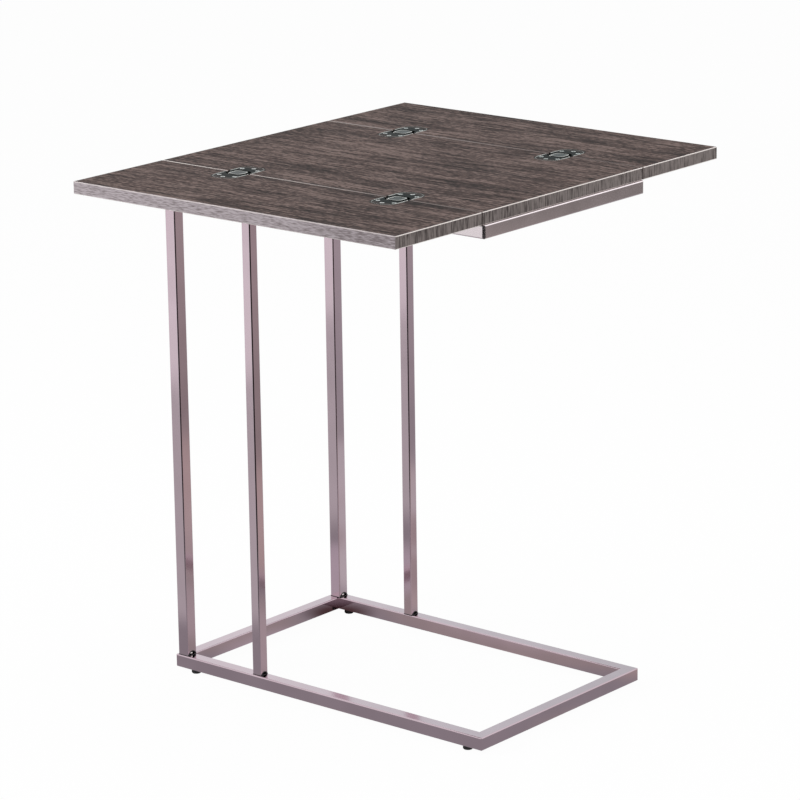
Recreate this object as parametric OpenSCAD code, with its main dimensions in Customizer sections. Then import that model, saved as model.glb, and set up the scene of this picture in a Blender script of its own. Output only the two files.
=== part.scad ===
// C-shaped side table: a bolted square-tube frame under a flip-open top of three panels.
// X runs from the legs to the open end, Y from front to rear, and Z up from the floor.
// The origin is on the floor, under the middle of the open table. Lengths are in millimetres.

/* [Tabletop] */
// Height of the tabletop's upper face above the floor
top_h = 641.5; // [450:0.5:760]
// Length of all three panels, from the leg end to the open end
top_l = 487; // [420:1:700]
// Width of the centre panel with its edging
panel_w = 300; // [260:5:420]
// Thickness of the panels
board_t = 15; // [12:0.5:20]
// Gap between the centre panel and an open leaf
seam_gap = 1; // [0.9:0.1:1.6]
// Gap between the two leaves when both are folded onto the centre panel
meet_gap = 1; // [0.6:0.2:8]
// Thickness of the edging strips
band_t = 1.2; // [0.8:0.1:2]
// Rounding of the edging's outer edges
band_r = 1.2; // [0.8:0.1:1.6]

/* [Frame] */
// Length of the frame that lies on the floor
base_l = 482; // [400:1:680]
// Width of a rail, the square tube of the two frames
rail = 16; // [15:0.5:20]
// Wall of a rail
rail_wall = 1.2; // [0.8:0.1:1.6]
// Radius on the long edges of a rail
rail_r = 1.6; // [1.2:0.1:2.5]
// Radius of the base frame's corners seen from above
base_corner_r = 1.6; // [1:0.1:5]
// Radius of the top frame's corners seen from above
top_corner_r = 3; // [1:0.1:5]
// How far the top frame stands in from the tabletop's leg end
frame_inset = 1; // [0:0.5:20]
// How far the base frame reaches past the top frame at the leg end
base_end_reach = 2; // [0:0.5:4]
// How far the top frame's open end stands out past the tabletop
bar_proud = 2; // [0:0.5:5]
// How far the base frame's long rails reach past the centre panel's edges
base_side_reach = 2.5; // [0:0.5:3]
// How far the top frame's long rails reach past the centre panel's edges
top_side_reach = 0; // [0:0.5:1]

/* [Legs] */
// Width of a corner leg, a square tube
corner_leg = 15.5; // [13:0.5:16]
// Width of an inner leg, a lighter square tube
inner_leg = 13; // [11:0.5:15]
// Wall of a leg
leg_wall = 1.2; // [0.8:0.1:1.5]
// Radius on the long edges of a leg
leg_r = 1.4; // [1.1:0.1:2.2]
// Distance between the corner leg and the inner leg, centre to centre
leg_pitch = 120.5; // [60:0.5:180]
// How far the corner legs stand in from the middle of the top frame's end rail
leg_inset = 1; // [0:0.5:3]
// Land between the drain notch at a leg's foot and the tube's side walls
notch_land = 0.3; // [0.1:0.1:1.5]
// How far the notch's centre lies below the leg's foot
notch_drop = 1.2; // [0:0.1:2.5]
// Length of the threaded plugs in the legs' ends
plug_l = 16; // [14:1:30]

/* [Feet] */
// Height of a foot under the base frame
foot_h = 5; // [3:0.5:10]
// Radius of a foot
foot_r = 6; // [5:0.1:7]
// Distance from the end of the base frame to a foot's centre
foot_in = 26.5; // [22:0.5:60]
// Radius of the stem that holds a foot in its rail
stem_r = 3.95; // [2.5:0.05:4]
// Length of that stem
stem_l = 5; // [3:0.5:8]

/* [Fasteners] */
// Radius of the leg bolts' thread
bolt_r = 3; // [2.5:0.5:3]
// Radius of the leg bolts' round heads
bolt_head_r = 5; // [4.5:0.1:5.2]
// Height of the leg bolts' heads
bolt_head_h = 6; // [4:0.5:6]
// Radius of the leg bolts' six-sided socket, over its corners
socket_r = 2.9; // [2:0.1:3.5]
// Depth of that socket
socket_h = 3; // [2:0.5:3.5]
// How deep the leg bolts reach into the plugs
bolt_bite = 12; // [8:1:13]
// Radius of the screws that hold the centre panel
panel_screw_r = 1.9; // [1.5:0.1:2.2]
// Radius of those screws' heads
panel_screw_head_r = 3.8; // [3:0.1:4.5]
// Height of those screws' heads
panel_screw_head_h = 2.2; // [1.6:0.1:3]
// How deep those screws reach into the panel
panel_screw_bite = 9; // [6:0.5:10]
// Distance from the tabletop's ends to the outer panel screws
panel_screw_in = 60; // [40:1:85]
// Radius of the hinge screws
hinge_screw_r = 1.4; // [1.1:0.1:1.5]
// Radius of the hinge screws' countersunk heads
hinge_screw_head_r = 2.75; // [2.4:0.05:2.9]
// How deep the hinge screws reach below the tabletop's face
hinge_screw_depth = 10; // [7:0.5:10.5]

/* [Hinges] */
// Distance from the tabletop's ends to the hinges' centres
hinge_in = 122.5; // [110:0.5:150]
// Width of a hinge along the seam
hinge_w = 35; // [33:0.5:42]
// Length of an open hinge across the seam
hinge_l = 72; // [70:1:84]
// Distance from a hinge pin to the edge of its own panel
pin_in = 3.4; // [3.3:0.1:4]
// Radius of the hinge's knuckles, and half of the link's thickness
knuckle_r = 2.2; // [2:0.05:2.3]
// How far the hinge lies below the tabletop's face
hinge_sink = 0.1; // [0:0.05:0.3]
// Radius of a hinge plate's outer corners
plate_corner_r = 12; // [8:0.5:16]
// Width of the link between the knuckles
link_w = 19; // [17:0.5:24]
// How far the link reaches past its pins
link_reach = 5.5; // [3:0.1:6]
// Radius of the link's corners seen from above
link_corner_r = 6; // [2:0.5:8]
// Width of the well that the link moves in
well_w = 27; // [26:0.5:28]
// Distance from the seam to the back of that well
well_l = 12; // [10.5:0.1:14]
// Radius of the well's corners seen from above
well_corner_r = 8; // [3:0.5:10]
// Thickness of the hinge plate's screw flange
flange_t = 2.2; // [1.8:0.1:2.6]
// Thickness of the floor and back wall of the well
well_wall = 0.8; // [0.6:0.1:1.2]
// Radius of the hinge pins
pin_r = 1; // [0.8:0.05:1.2]

/* [Clearances] */
// Gap round a hinge plate in its pocket
pocket_gap = 0.2; // [0.1:0.05:0.4]
// Gap under the link's end in its well when the link stands upright
well_gap = 0.3; // [0.2:0.05:0.5]
// Gap between a plug and the inside of its leg
plug_gap = 0.3; // [0.1:0.05:0.4]
// Radial gap round a fastener that is only passed through
pass_gap = 0.3; // [0.2:0.05:0.5]
// Radial gap round a thread or stem that is held
hold_gap = 0.05; // [0.02:0.01:0.1]
// Radial gap round a pin that turns in the link
turn_gap = 0.06; // [0.03:0.01:0.1]
// Radial gap round a pin that is pressed into a plate
press_gap = 0.02; // [0.01:0.01:0.04]
// Gap between neighbouring strips of edging
strip_gap = 0.05; // [0.02:0.01:0.1]

/* [Hidden] */
$fn = 48;
eps = 1;

front = -1;
rear = 1;
to_panel = -1;
to_leaf = 1;

// Each leaf covers half of the centre panel when it is folded
leaf_w = (panel_w - meet_gap) / 2;
seam_y = (panel_w + seam_gap) / 2;

// Places along X, with the base frame's reach past the tabletop counted in the middle
base_overhang = max(base_end_reach - frame_inset, 0);
top_x = (base_overhang - top_l - bar_proud) / 2;
frame_x = top_x + frame_inset;
base_x = frame_x - base_end_reach;
top_frame_l = top_l - frame_inset + bar_proud;
hinge_xs = [top_x + hinge_in, top_x + top_l - hinge_in];
corner_leg_x = frame_x + rail / 2 + leg_inset;
inner_leg_x = corner_leg_x + leg_pitch;
foot_xs = [base_x + foot_in, base_x + base_l - foot_in];
panel_screw_xs = [top_x + panel_screw_in, top_x + top_l / 2, top_x + top_l - panel_screw_in];

// Places along Y
base_w = panel_w + 2 * base_side_reach;
top_frame_w = panel_w + 2 * top_side_reach;
base_rail_y = (base_w - rail) / 2;
top_rail_y = (top_frame_w - rail) / 2;
// The legs stand midway between the two frames' centre lines
leg_y = (base_rail_y + top_rail_y) / 2;

// Heights
leg_z = foot_h + rail;
board_z = top_h - board_t;
frame_z = board_z - rail;
leg_l = frame_z - leg_z;

// Hinge sizes, with v measured from the seam and w down from the tabletop's face
pin_v = seam_gap / 2 + pin_in;
pin_w = hinge_sink + knuckle_r;
// The far corners of the link swing round its pin on this radius
swing_r = sqrt(link_reach * link_reach + knuckle_r * knuckle_r);
well_w_depth = pin_w + swing_r + well_gap;
cup_depth = well_w_depth + well_wall;
cup_v = well_l + well_wall;
link_bore_r = pin_r + turn_gap;
plate_bore_r = pin_r + press_gap;
end_play = 0.4;

// Hinge screws: two near the plate's sides and one between them, nearer its end
screw_side_u = 12;
screw_side_v = hinge_l / 2 - 16;
screw_end_v = hinge_l / 2 - 9;
hinge_screw_places = [[-screw_side_u, screw_side_v], [screw_side_u, screw_side_v],
    [0, screw_end_v]];
hinge_screw_head_h = hinge_screw_head_r - hinge_screw_r;
head_sink = 0.15;
recess_w = 0.7;
hinge_recess_r = 1.7;
hinge_recess_h = 0.8;
panel_recess_r = 1.9;
panel_recess_h = 1.1;

metal = [0.62, 0.56, 0.58];
laminate = [0.40, 0.36, 0.35];
edging = [0.60, 0.56, 0.56];
nickel = [0.66, 0.67, 0.68];
black = [0.05, 0.05, 0.05];

// Rectangle from the origin with rounded corners
module rounded_rect(l, w, r) {
    translate([r, 0]) square([l - 2 * r, w]);
    translate([0, r]) square([l, w - 2 * r]);
    for (x = [r, l - r], y = [r, w - r]) translate([x, y]) circle(r = r);
}

// Wall of a square tube, from the origin
module tube_wall(size, wall, r) {
    difference() {
        rounded_rect(size, size, r);
        translate([wall, wall])
            rounded_rect(size - 2 * wall, size - 2 * wall, max(r - wall, 0.3));
    }
}

// Swaps X and Y
module swap_xy() {
    mirror([1, -1, 0]) children();
}

// One side of a mitred frame of l by w with corners of radius r, along X from the origin
module frame_side(l, w, r) {
    intersection() {
        rotate([90, 0, 90]) linear_extrude(l) tube_wall(rail, rail_wall, rail_r);
        linear_extrude(rail) polygon([[0, 0], [l, 0], [l - rail, rail], [rail, rail]]);
        linear_extrude(rail) rounded_rect(l, w, r);
    }
}

// The front side and the leg-end side of the base frame and of the top frame
module base_front() {
    translate([base_x, -base_w / 2, foot_h]) frame_side(base_l, base_w, base_corner_r);
}

module base_leg_end() {
    translate([base_x, -base_w / 2, foot_h]) swap_xy() frame_side(base_w, base_l, base_corner_r);
}

module top_front() {
    translate([frame_x, -top_frame_w / 2, frame_z])
        frame_side(top_frame_l, top_frame_w, top_corner_r);
}

module top_leg_end() {
    translate([frame_x, -top_frame_w / 2, frame_z]) swap_xy()
        frame_side(top_frame_w, top_frame_l, top_corner_r);
}

// Mirrors a child from the front to the rear
module to_rear() {
    mirror([0, 1, 0]) children();
}

// Mirrors a child from a frame's leg end to its open end
module to_open_end(x, l) {
    translate([2 * x + l, 0, 0]) mirror([1, 0, 0]) children();
}

// Puts a child at the centre lines of the front and the rear leg at x
module at_leg_pair(x) {
    for (side = [front, rear]) translate([x, side * leg_y, 0]) children();
}

// Puts a child at each leg's centre line
module at_legs() {
    for (x = [corner_leg_x, inner_leg_x]) at_leg_pair(x) children();
}

module at_feet() {
    for (x = foot_xs, side = [front, rear]) translate([x, side * base_rail_y, 0]) children();
}

module at_panel_screws() {
    for (x = panel_screw_xs, side = [front, rear])
        translate([x, side * top_rail_y, 0]) children();
}

// Bolt hole through the wall next to the leg, and a wide hole in the other wall for the key
module bolt_holes() {
    translate([0, 0, rail / 2]) cylinder(h = rail, r = bolt_r + pass_gap);
    translate([0, 0, -rail / 2]) cylinder(h = rail, r = bolt_head_r + pass_gap);
}

module base_holes() {
    at_legs() translate([0, 0, foot_h]) bolt_holes();
    at_feet() translate([0, 0, foot_h - eps])
        cylinder(h = rail_wall + 2 * eps, r = stem_r + hold_gap);
}

module top_holes() {
    at_legs() translate([0, 0, board_z]) mirror([0, 0, 1]) bolt_holes();
    at_panel_screws() translate([0, 0, frame_z - eps])
        cylinder(h = rail + 2 * eps, r = panel_screw_r + pass_gap);
}

module base_front_rail() {
    color(metal) difference() {
        base_front();
        base_holes();
    }
}

module base_rear_rail() {
    color(metal) difference() {
        to_rear() base_front();
        base_holes();
    }
}

module base_leg_end_rail() {
    color(metal) difference() {
        base_leg_end();
        base_holes();
    }
}

module base_open_end_rail() {
    color(metal) difference() {
        to_open_end(base_x, base_l) base_leg_end();
        base_holes();
    }
}

module top_front_rail() {
    color(metal) difference() {
        top_front();
        top_holes();
    }
}

module top_rear_rail() {
    color(metal) difference() {
        to_rear() top_front();
        top_holes();
    }
}

module top_leg_end_rail() {
    color(metal) difference() {
        top_leg_end();
        top_holes();
    }
}

module top_open_end_rail() {
    color(metal) difference() {
        to_open_end(frame_x, top_frame_l) top_leg_end();
        top_holes();
    }
}

// A leg stands between the two frames, with a low round notch at the foot of its open-end wall
module leg_tube(x, side, w) {
    color(metal) translate([x, side * leg_y, leg_z]) difference() {
        translate([-w / 2, -w / 2, 0]) linear_extrude(leg_l) tube_wall(w, leg_wall, leg_r);
        translate([w / 2 - leg_wall - plug_gap / 2, 0, -notch_drop]) rotate([0, 90, 0])
            cylinder(h = leg_wall + eps, r = w / 2 - leg_wall - notch_land);
    }
}

// Square plug with a threaded hole, fixed in the end of a leg of width w
module plug(w) {
    plug_w = w - 2 * leg_wall - 2 * plug_gap;
    difference() {
        translate([-plug_w / 2, -plug_w / 2, 0]) cube([plug_w, plug_w, plug_l]);
        translate([0, 0, -eps]) cylinder(h = plug_l + 2 * eps, r = bolt_r + hold_gap);
    }
}

module leg_foot_plugs() {
    color(black) at_leg_pair(corner_leg_x) translate([0, 0, leg_z]) plug(corner_leg);
    color(black) at_leg_pair(inner_leg_x) translate([0, 0, leg_z]) plug(inner_leg);
}

module leg_head_plugs() {
    color(black) at_leg_pair(corner_leg_x) translate([0, 0, frame_z]) mirror([0, 0, 1])
        plug(corner_leg);
    color(black) at_leg_pair(inner_leg_x) translate([0, 0, frame_z]) mirror([0, 0, 1])
        plug(inner_leg);
}

// Socket-head bolt that points up, with its head under the origin
module leg_bolt() {
    difference() {
        union() {
            translate([0, 0, -bolt_head_h]) cylinder(h = bolt_head_h, r = bolt_head_r);
            cylinder(h = rail_wall + bolt_bite, r = bolt_r);
        }
        translate([0, 0, -bolt_head_h - eps])
            cylinder(h = socket_h + eps, r = socket_r, $fn = 6);
    }
}

module base_bolts() {
    color(nickel) at_legs() translate([0, 0, leg_z - rail_wall]) leg_bolt();
}

module top_bolts() {
    color(nickel) at_legs() translate([0, 0, frame_z + rail_wall]) mirror([0, 0, 1]) leg_bolt();
}

// Round plastic glide with a stem that is pushed into the rail
module foot() {
    foot_edge = 0.9;
    stem_edge = 0.6;
    stem_top = foot_h + stem_l;
    rotate_extrude() polygon([[0, 0], [foot_r - foot_edge, 0], [foot_r, foot_edge],
        [foot_r, foot_h], [stem_r, foot_h], [stem_r, stem_top - stem_edge],
        [stem_r - stem_edge, stem_top], [0, stem_top]]);
}

module feet() {
    color(black) at_feet() foot();
}

// Cross recess in a screw head, cut down from the origin
module cross_recess(r, depth) {
    for (turn = [0, 90]) rotate([0, 0, turn])
        translate([-r, -recess_w / 2, -depth]) cube([2 * r, recess_w, depth + eps]);
}

// Pan-head screw that points up, with its head under the origin
module panel_screw() {
    head_edge = 0.8;
    tip_h = 2 * panel_screw_r;
    shank_l = rail + panel_screw_bite - tip_h;
    difference() {
        union() {
            rotate_extrude() polygon([[0, -panel_screw_head_h],
                [panel_screw_head_r - head_edge, -panel_screw_head_h],
                [panel_screw_head_r, -panel_screw_head_h + head_edge],
                [panel_screw_head_r, 0], [0, 0]]);
            cylinder(h = shank_l, r = panel_screw_r);
            translate([0, 0, shank_l]) cylinder(h = tip_h, r1 = panel_screw_r, r2 = 0);
        }
        translate([0, 0, -panel_screw_head_h]) mirror([0, 0, 1])
            cross_recess(panel_recess_r, panel_recess_h);
    }
}

module panel_screws() {
    color(nickel) at_panel_screws() translate([0, 0, frame_z]) panel_screw();
}

// Screw holes in the panel, from below
module panel_screw_bores() {
    at_panel_screws() translate([0, 0, board_z - eps])
        cylinder(h = panel_screw_bite + pass_gap + eps, r = panel_screw_r + hold_gap);
}

// A panel of width w whose front edge is at y: the whole outline with rounded edges
module slab(y, w) {
    translate([top_x, y, board_z]) intersection() {
        rotate([90, 0, 90]) linear_extrude(top_l) rounded_rect(w, board_t, band_r);
        swap_xy() rotate([90, 0, 90]) linear_extrude(w) rounded_rect(top_l, board_t, band_r);
        linear_extrude(board_t) rounded_rect(top_l, w, band_r);
    }
}

// The board inside the edging
module board(y, w) {
    translate([top_x + band_t, y + band_t, board_z])
        cube([top_l - 2 * band_t, w - 2 * band_t, board_t]);
}

// Four strips round a board: two full-length ones, and two between them
module strips(y, w) {
    short_w = w - 2 * band_t - 2 * strip_gap;
    for (strip_y = [y - eps, y + w - band_t]) intersection() {
        slab(y, w);
        translate([top_x - eps, strip_y, board_z - eps])
            cube([top_l + 2 * eps, band_t + eps, board_t + 2 * eps]);
    }
    for (strip_x = [top_x - eps, top_x + top_l - band_t]) intersection() {
        slab(y, w);
        translate([strip_x, y + band_t + strip_gap, board_z - eps])
            cube([band_t + eps, short_w, board_t + 2 * eps]);
    }
}

// Puts a child at a hinge's centre on the tabletop's face, with its v axis away from the panel
module at_hinge(side, x) {
    translate([x, side * seam_y, top_h]) mirror([0, side < 0 ? 1 : 0, 0]) children();
}

// Turns a child made for the leaf's side to the side asked for
module to_side(dir) {
    mirror([0, dir < 0 ? 1 : 0, 0]) children();
}

// Outline of a hinge plate from v to its round-cornered end, made larger all round by grow
module plate_outline(v, grow) {
    intersection() {
        translate([-hinge_w / 2 - grow, -hinge_l / 2])
            rounded_rect(hinge_w + 2 * grow, hinge_l + grow, plate_corner_r + grow);
        translate([-hinge_w, v]) square([2 * hinge_w, hinge_l]);
    }
}

// Shallow pocket for the flange, a deeper one for the well, and the screw holes
module hinge_pocket(dir) {
    to_side(dir) {
        translate([0, 0, -hinge_sink - flange_t])
            linear_extrude(hinge_sink + flange_t + eps) plate_outline(-eps, pocket_gap);
        translate([-hinge_w / 2 - pocket_gap, -eps, -cup_depth])
            cube([hinge_w + 2 * pocket_gap, cup_v + pocket_gap + eps, cup_depth + eps]);
        for (place = hinge_screw_places)
            translate([place[0], place[1], -hinge_screw_depth - pass_gap])
                cylinder(h = hinge_screw_depth, r = hinge_screw_r + hold_gap);
    }
}

module hinge_pockets(side, dir) {
    for (x = hinge_xs) at_hinge(side, x) hinge_pocket(dir);
}

module centre_cuts() {
    hinge_pockets(front, to_panel);
    hinge_pockets(rear, to_panel);
    panel_screw_bores();
}

module centre_panel() {
    color(laminate) difference() {
        board(-panel_w / 2, panel_w);
        centre_cuts();
    }
}

module centre_panel_edging() {
    color(edging) difference() {
        strips(-panel_w / 2, panel_w);
        centre_cuts();
    }
}

module front_leaf() {
    color(laminate) difference() {
        board(-seam_y - seam_gap / 2 - leaf_w, leaf_w);
        hinge_pockets(front, to_leaf);
    }
}

module front_leaf_edging() {
    color(edging) difference() {
        strips(-seam_y - seam_gap / 2 - leaf_w, leaf_w);
        hinge_pockets(front, to_leaf);
    }
}

module rear_leaf() {
    color(laminate) difference() {
        board(seam_y + seam_gap / 2, leaf_w);
        hinge_pockets(rear, to_leaf);
    }
}

module rear_leaf_edging() {
    color(edging) difference() {
        strips(seam_y + seam_gap / 2, leaf_w);
        hinge_pockets(rear, to_leaf);
    }
}

// Cylinder along X, centred at v and w down
module cross_cylinder(l, r) {
    translate([-l / 2, pin_v, -pin_w]) rotate([0, 90, 0]) cylinder(h = l, r = r);
}

// Countersunk hole in a hinge plate, from the plate's face down
module countersink() {
    wide_r = hinge_screw_head_r + pass_gap / 2;
    narrow_r = hinge_screw_r + pass_gap / 2;
    translate([0, 0, -wide_r + narrow_r])
        cylinder(h = wide_r - narrow_r, r1 = narrow_r, r2 = wide_r);
    translate([0, 0, -cup_depth]) cylinder(h = cup_depth, r = narrow_r);
}

// Cast plate: a screw flange, a cup with the well for the link, and two knuckles
module hinge_plate(side, x, dir) {
    color(nickel) at_hinge(side, x) to_side(dir) difference() {
        union() {
            translate([0, 0, -hinge_sink - flange_t]) linear_extrude(flange_t)
                plate_outline(pin_v, 0);
            translate([-hinge_w / 2, pin_v, -cup_depth])
                cube([hinge_w, cup_v - pin_v, cup_depth - hinge_sink]);
            translate([-hinge_w / 2, pin_v - knuckle_r, -cup_depth])
                cube([hinge_w, 2 * knuckle_r, cup_depth - pin_w]);
            cross_cylinder(hinge_w, knuckle_r);
        }
        translate([-well_w / 2, -well_l, -well_w_depth]) linear_extrude(well_w_depth + eps)
            rounded_rect(well_w, 2 * well_l, well_corner_r);
        cross_cylinder(hinge_w + 2 * eps, plate_bore_r);
        for (place = hinge_screw_places)
            translate([place[0], place[1], -hinge_sink]) countersink();
    }
}

// Flat block with rounded corners that turns on both pins
module hinge_link(side, x) {
    link_l = 2 * (pin_v + link_reach);
    color(nickel) at_hinge(side, x) difference() {
        translate([-link_w / 2, -link_l / 2, -pin_w - knuckle_r]) linear_extrude(2 * knuckle_r)
            rounded_rect(link_w, link_l, link_corner_r);
        for (dir = [to_panel, to_leaf]) to_side(dir)
            cross_cylinder(link_w + 2 * eps, link_bore_r);
    }
}

module hinge_pin(side, x, dir) {
    color(nickel) at_hinge(side, x) to_side(dir) cross_cylinder(hinge_w - end_play, pin_r);
}

// Countersunk wood screw that points down from a hinge plate's face
module hinge_screw() {
    tip_h = 2 * hinge_screw_r;
    body_l = hinge_screw_depth - hinge_sink - head_sink - hinge_screw_head_h - tip_h;
    translate([0, 0, -head_sink]) difference() {
        union() {
            translate([0, 0, -hinge_screw_head_h]) cylinder(h = hinge_screw_head_h,
                r1 = hinge_screw_r, r2 = hinge_screw_head_r);
            translate([0, 0, -hinge_screw_head_h - body_l])
                cylinder(h = body_l, r = hinge_screw_r);
            translate([0, 0, -hinge_screw_head_h - body_l - tip_h])
                cylinder(h = tip_h, r1 = 0, r2 = hinge_screw_r);
        }
        cross_recess(hinge_recess_r, hinge_recess_h);
    }
}

module hinge_screws(side, dir) {
    for (x = hinge_xs) at_hinge(side, x) to_side(dir)
        for (place = hinge_screw_places)
            translate([place[0], place[1], -hinge_sink]) hinge_screw();
}

module centre_hinge_screws() {
    color(nickel) hinge_screws(front, to_panel);
    color(nickel) hinge_screws(rear, to_panel);
}

module front_leaf_hinge_screws() {
    color(nickel) hinge_screws(front, to_leaf);
}

module rear_leaf_hinge_screws() {
    color(nickel) hinge_screws(rear, to_leaf);
}

base_front_rail();
base_rear_rail();
base_leg_end_rail();
base_open_end_rail();
top_front_rail();
top_rear_rail();
top_leg_end_rail();
top_open_end_rail();
leg_tube(corner_leg_x, front, corner_leg);  // front_corner_leg
leg_tube(inner_leg_x, front, inner_leg);  // front_inner_leg
leg_tube(corner_leg_x, rear, corner_leg);  // rear_corner_leg
leg_tube(inner_leg_x, rear, inner_leg);  // rear_inner_leg
leg_foot_plugs();
leg_head_plugs();
base_bolts();
top_bolts();
feet();
panel_screws();
centre_panel();
centre_panel_edging();
front_leaf();
front_leaf_edging();
rear_leaf();
rear_leaf_edging();
centre_hinge_screws();
front_leaf_hinge_screws();
rear_leaf_hinge_screws();

// The five pieces of each hinge, named by side and by end: left is the leg end
for (side = [front, rear], end = [0, 1]) {
    x = hinge_xs[end];
    name = str(side < 0 ? "front" : "rear", end == 0 ? "_left" : "_right");
    hinge_plate(side, x, to_panel);
    hinge_plate(side, x, to_leaf);
    hinge_link(side, x);
    hinge_pin(side, x, to_panel);
    hinge_pin(side, x, to_leaf);
}
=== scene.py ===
"""Looks of a C-shaped side table: plated tube frame, wood-look panels and flush flip hinges."""

import math

import bpy
import numpy as np
from mathutils import Matrix, Vector


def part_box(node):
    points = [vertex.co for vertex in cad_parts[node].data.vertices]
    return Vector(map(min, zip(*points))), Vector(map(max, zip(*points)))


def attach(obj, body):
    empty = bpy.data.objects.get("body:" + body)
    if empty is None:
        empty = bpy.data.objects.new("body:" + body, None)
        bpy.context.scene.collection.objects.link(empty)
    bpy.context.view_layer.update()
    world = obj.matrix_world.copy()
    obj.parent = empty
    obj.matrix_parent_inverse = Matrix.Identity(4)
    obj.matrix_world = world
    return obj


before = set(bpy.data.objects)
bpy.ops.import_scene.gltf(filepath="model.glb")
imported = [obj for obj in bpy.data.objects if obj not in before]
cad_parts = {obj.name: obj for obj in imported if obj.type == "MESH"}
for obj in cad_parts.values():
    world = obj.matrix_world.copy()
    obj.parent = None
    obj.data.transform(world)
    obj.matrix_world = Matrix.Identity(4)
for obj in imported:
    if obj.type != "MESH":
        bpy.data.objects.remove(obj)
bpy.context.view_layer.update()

bl_info = {
    "name": "C-shaped side table",
    "version": (1, 0, 0),
    "blender": (4, 5, 0),
    "location": "View3D > Sidebar > Side table",
    "description": "Finishes, hinge rims and studio for a flip-top side table",
    "category": "Object",
}

# Metres in a millimetre
MM = 0.001

HINGES = ("front_left", "front_right", "rear_left", "rear_right")
PANELS = ("centre_panel", "front_leaf", "rear_leaf")
RAIL_SIDES = ("front", "rear", "leg_end", "open_end")
BASE_RAILS = tuple(f"base_{side}_rail" for side in RAIL_SIDES)
TOP_RAILS = tuple(f"top_{side}_rail" for side in RAIL_SIDES)
LEGS = ("front_corner_leg", "front_inner_leg", "rear_corner_leg", "rear_inner_leg")
CORNER_LEGS = ("front_corner_leg", "rear_corner_leg")
# Signs of X and Y at the four corners of an outline, anticlockwise
AROUND = ((1, 1), (-1, 1), (-1, -1), (1, -1))

# Distance of the seams from the tabletop's middle line
SEAM_Y = 150.5 * MM
# Reach of the black nickel from the seam; beyond it the hinge plates are rubbed brown
BLACK_REACH = 26 * MM
# Legs, as in the part's source: the tube's wall and the rounding of its outside corners
LEG_WALL = 1.2 * MM
LEG_ROUNDING = 1.4 * MM
# Drain notches: width of the flat left beside one, and depth of its centre below the leg's foot
NOTCH_LAND = 0.3 * MM
NOTCH_DROP = 1.2 * MM

# Sockets of a Mix node: the factor, the two numbers, the two colours, and the mixed colour
FACTOR, NUMBER_A, NUMBER_B, COLOUR_A, COLOUR_B = 0, 2, 3, 6, 7
MIXED = 2


def linear(code):
    """Turns an sRGB hex colour into linear red, green, blue and an alpha of one."""
    channels = [int(code[i:i + 2], 16) / 255 for i in (1, 3, 5)]
    return tuple(c / 12.92 if c <= 0.04045 else ((c + 0.055) / 1.055) ** 2.4
                 for c in channels) + (1.0,)


def colour_prop(name, description, code):
    """A colour that a user may change, given as an sRGB hex code."""
    return bpy.props.FloatVectorProperty(name=name, description=description, size=4,
                                         subtype="COLOR", min=0.0, max=1.0,
                                         default=linear(code))


class TableFinish(bpy.types.PropertyGroup):
    """Colours of the finishes."""

    metal: colour_prop("Frame metal", "Champagne plating on the steel tubes", "#c9b6bf")
    top_metal: colour_prop("Top frame metal", "Paler plating under the top", "#dcd2d5")
    wood_dark: colour_prop("Wood, dark", "Darkest streaks of the wood print", "#1e1615")
    wood_mid: colour_prop("Wood, middle", "Ground tone of the wood print", "#463835")
    wood_light: colour_prop("Wood, light", "Lightest bands of the wood print", "#71605b")
    # Painted light: the long edges' colours are lighter than the ends', because the long edges
    # face the lamp at the front left; the strokes are the print
    side_dark: colour_prop("Long edging, dark", "Strokes on the long edges", "#6c6264")
    side_light: colour_prop("Long edging, light", "Ground tone of the long edges", "#a59ca0")
    end_dark: colour_prop("End edging, dark", "Strokes on the short edges", "#3f3634")
    end_light: colour_prop("End edging, light", "Ground tone of the short edges", "#8d8380")
    # Painted highlight: the pale colour painted along the edging's arris
    core: colour_prop("Edging core", "Pale plastic that shows along the arris", "#efe6e2")
    plate: colour_prop("Hinge plate", "Black nickel on the hinge plates", "#272b2b")
    link: colour_prop("Hinge link", "Black nickel, rubbed lighter, on the links", "#434849")
    rim: colour_prop("Hinge rim", "Nickel worn bright on the rims", "#d6d5d1")


class TableSizes(bpy.types.PropertyGroup):
    """Sizes of the pieces made here, in metres."""

    rim_width: bpy.props.FloatProperty(name="Rim width", description="Width of a hinge rim",
                                       default=1.3 * MM, unit="LENGTH")
    rim_height: bpy.props.FloatProperty(name="Rim height",
                                        description="Height of a rim over its plate",
                                        default=0.25 * MM, unit="LENGTH")
    rim_corner: bpy.props.FloatProperty(name="Rim corner",
                                        description="Corner radius of a hinge plate's rim",
                                        default=16.0 * MM, unit="LENGTH")
    link_corner: bpy.props.FloatProperty(name="Link corner",
                                         description="Corner radius of a hinge link",
                                         default=6.0 * MM, unit="LENGTH")
    grommet: bpy.props.FloatProperty(name="Grommet",
                                     description="Radius of the bead round a drain notch",
                                     default=1.0 * MM, unit="LENGTH")
    # Painted shadow: the dark bead under each leg stands in for its contact shadow
    contact_shadow_height: bpy.props.FloatProperty(name="Gasket",
                                    description="Height of the dark bead under a leg",
                                    default=0.6 * MM, unit="LENGTH")
    stud: bpy.props.FloatProperty(name="Stud",
                                  description="Radius of the set screw's end seen in a notch",
                                  default=1.6 * MM, unit="LENGTH")


class StageLight(bpy.types.PropertyGroup):
    """Light levels and the camera."""

    fill: bpy.props.FloatProperty(name="Fill", description="World light on the object",
                                  default=0.45)
    key: bpy.props.FloatProperty(name="Key", description="Power of the lamp at the front left",
                                 default=75.0, unit="POWER")
    top: bpy.props.FloatProperty(name="Top", description="Power of the lamp overhead",
                                 default=30.0, unit="POWER")
    strip: bpy.props.FloatProperty(name="Strip",
                                   description="Power of the small lamp past the open end",
                                   default=0.35, unit="POWER")
    lens_px: bpy.props.FloatProperty(name="Lens", default=3654.8, subtype="PIXEL",
                                     description="Focal length in pixels of the 800-pixel picture")


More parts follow.
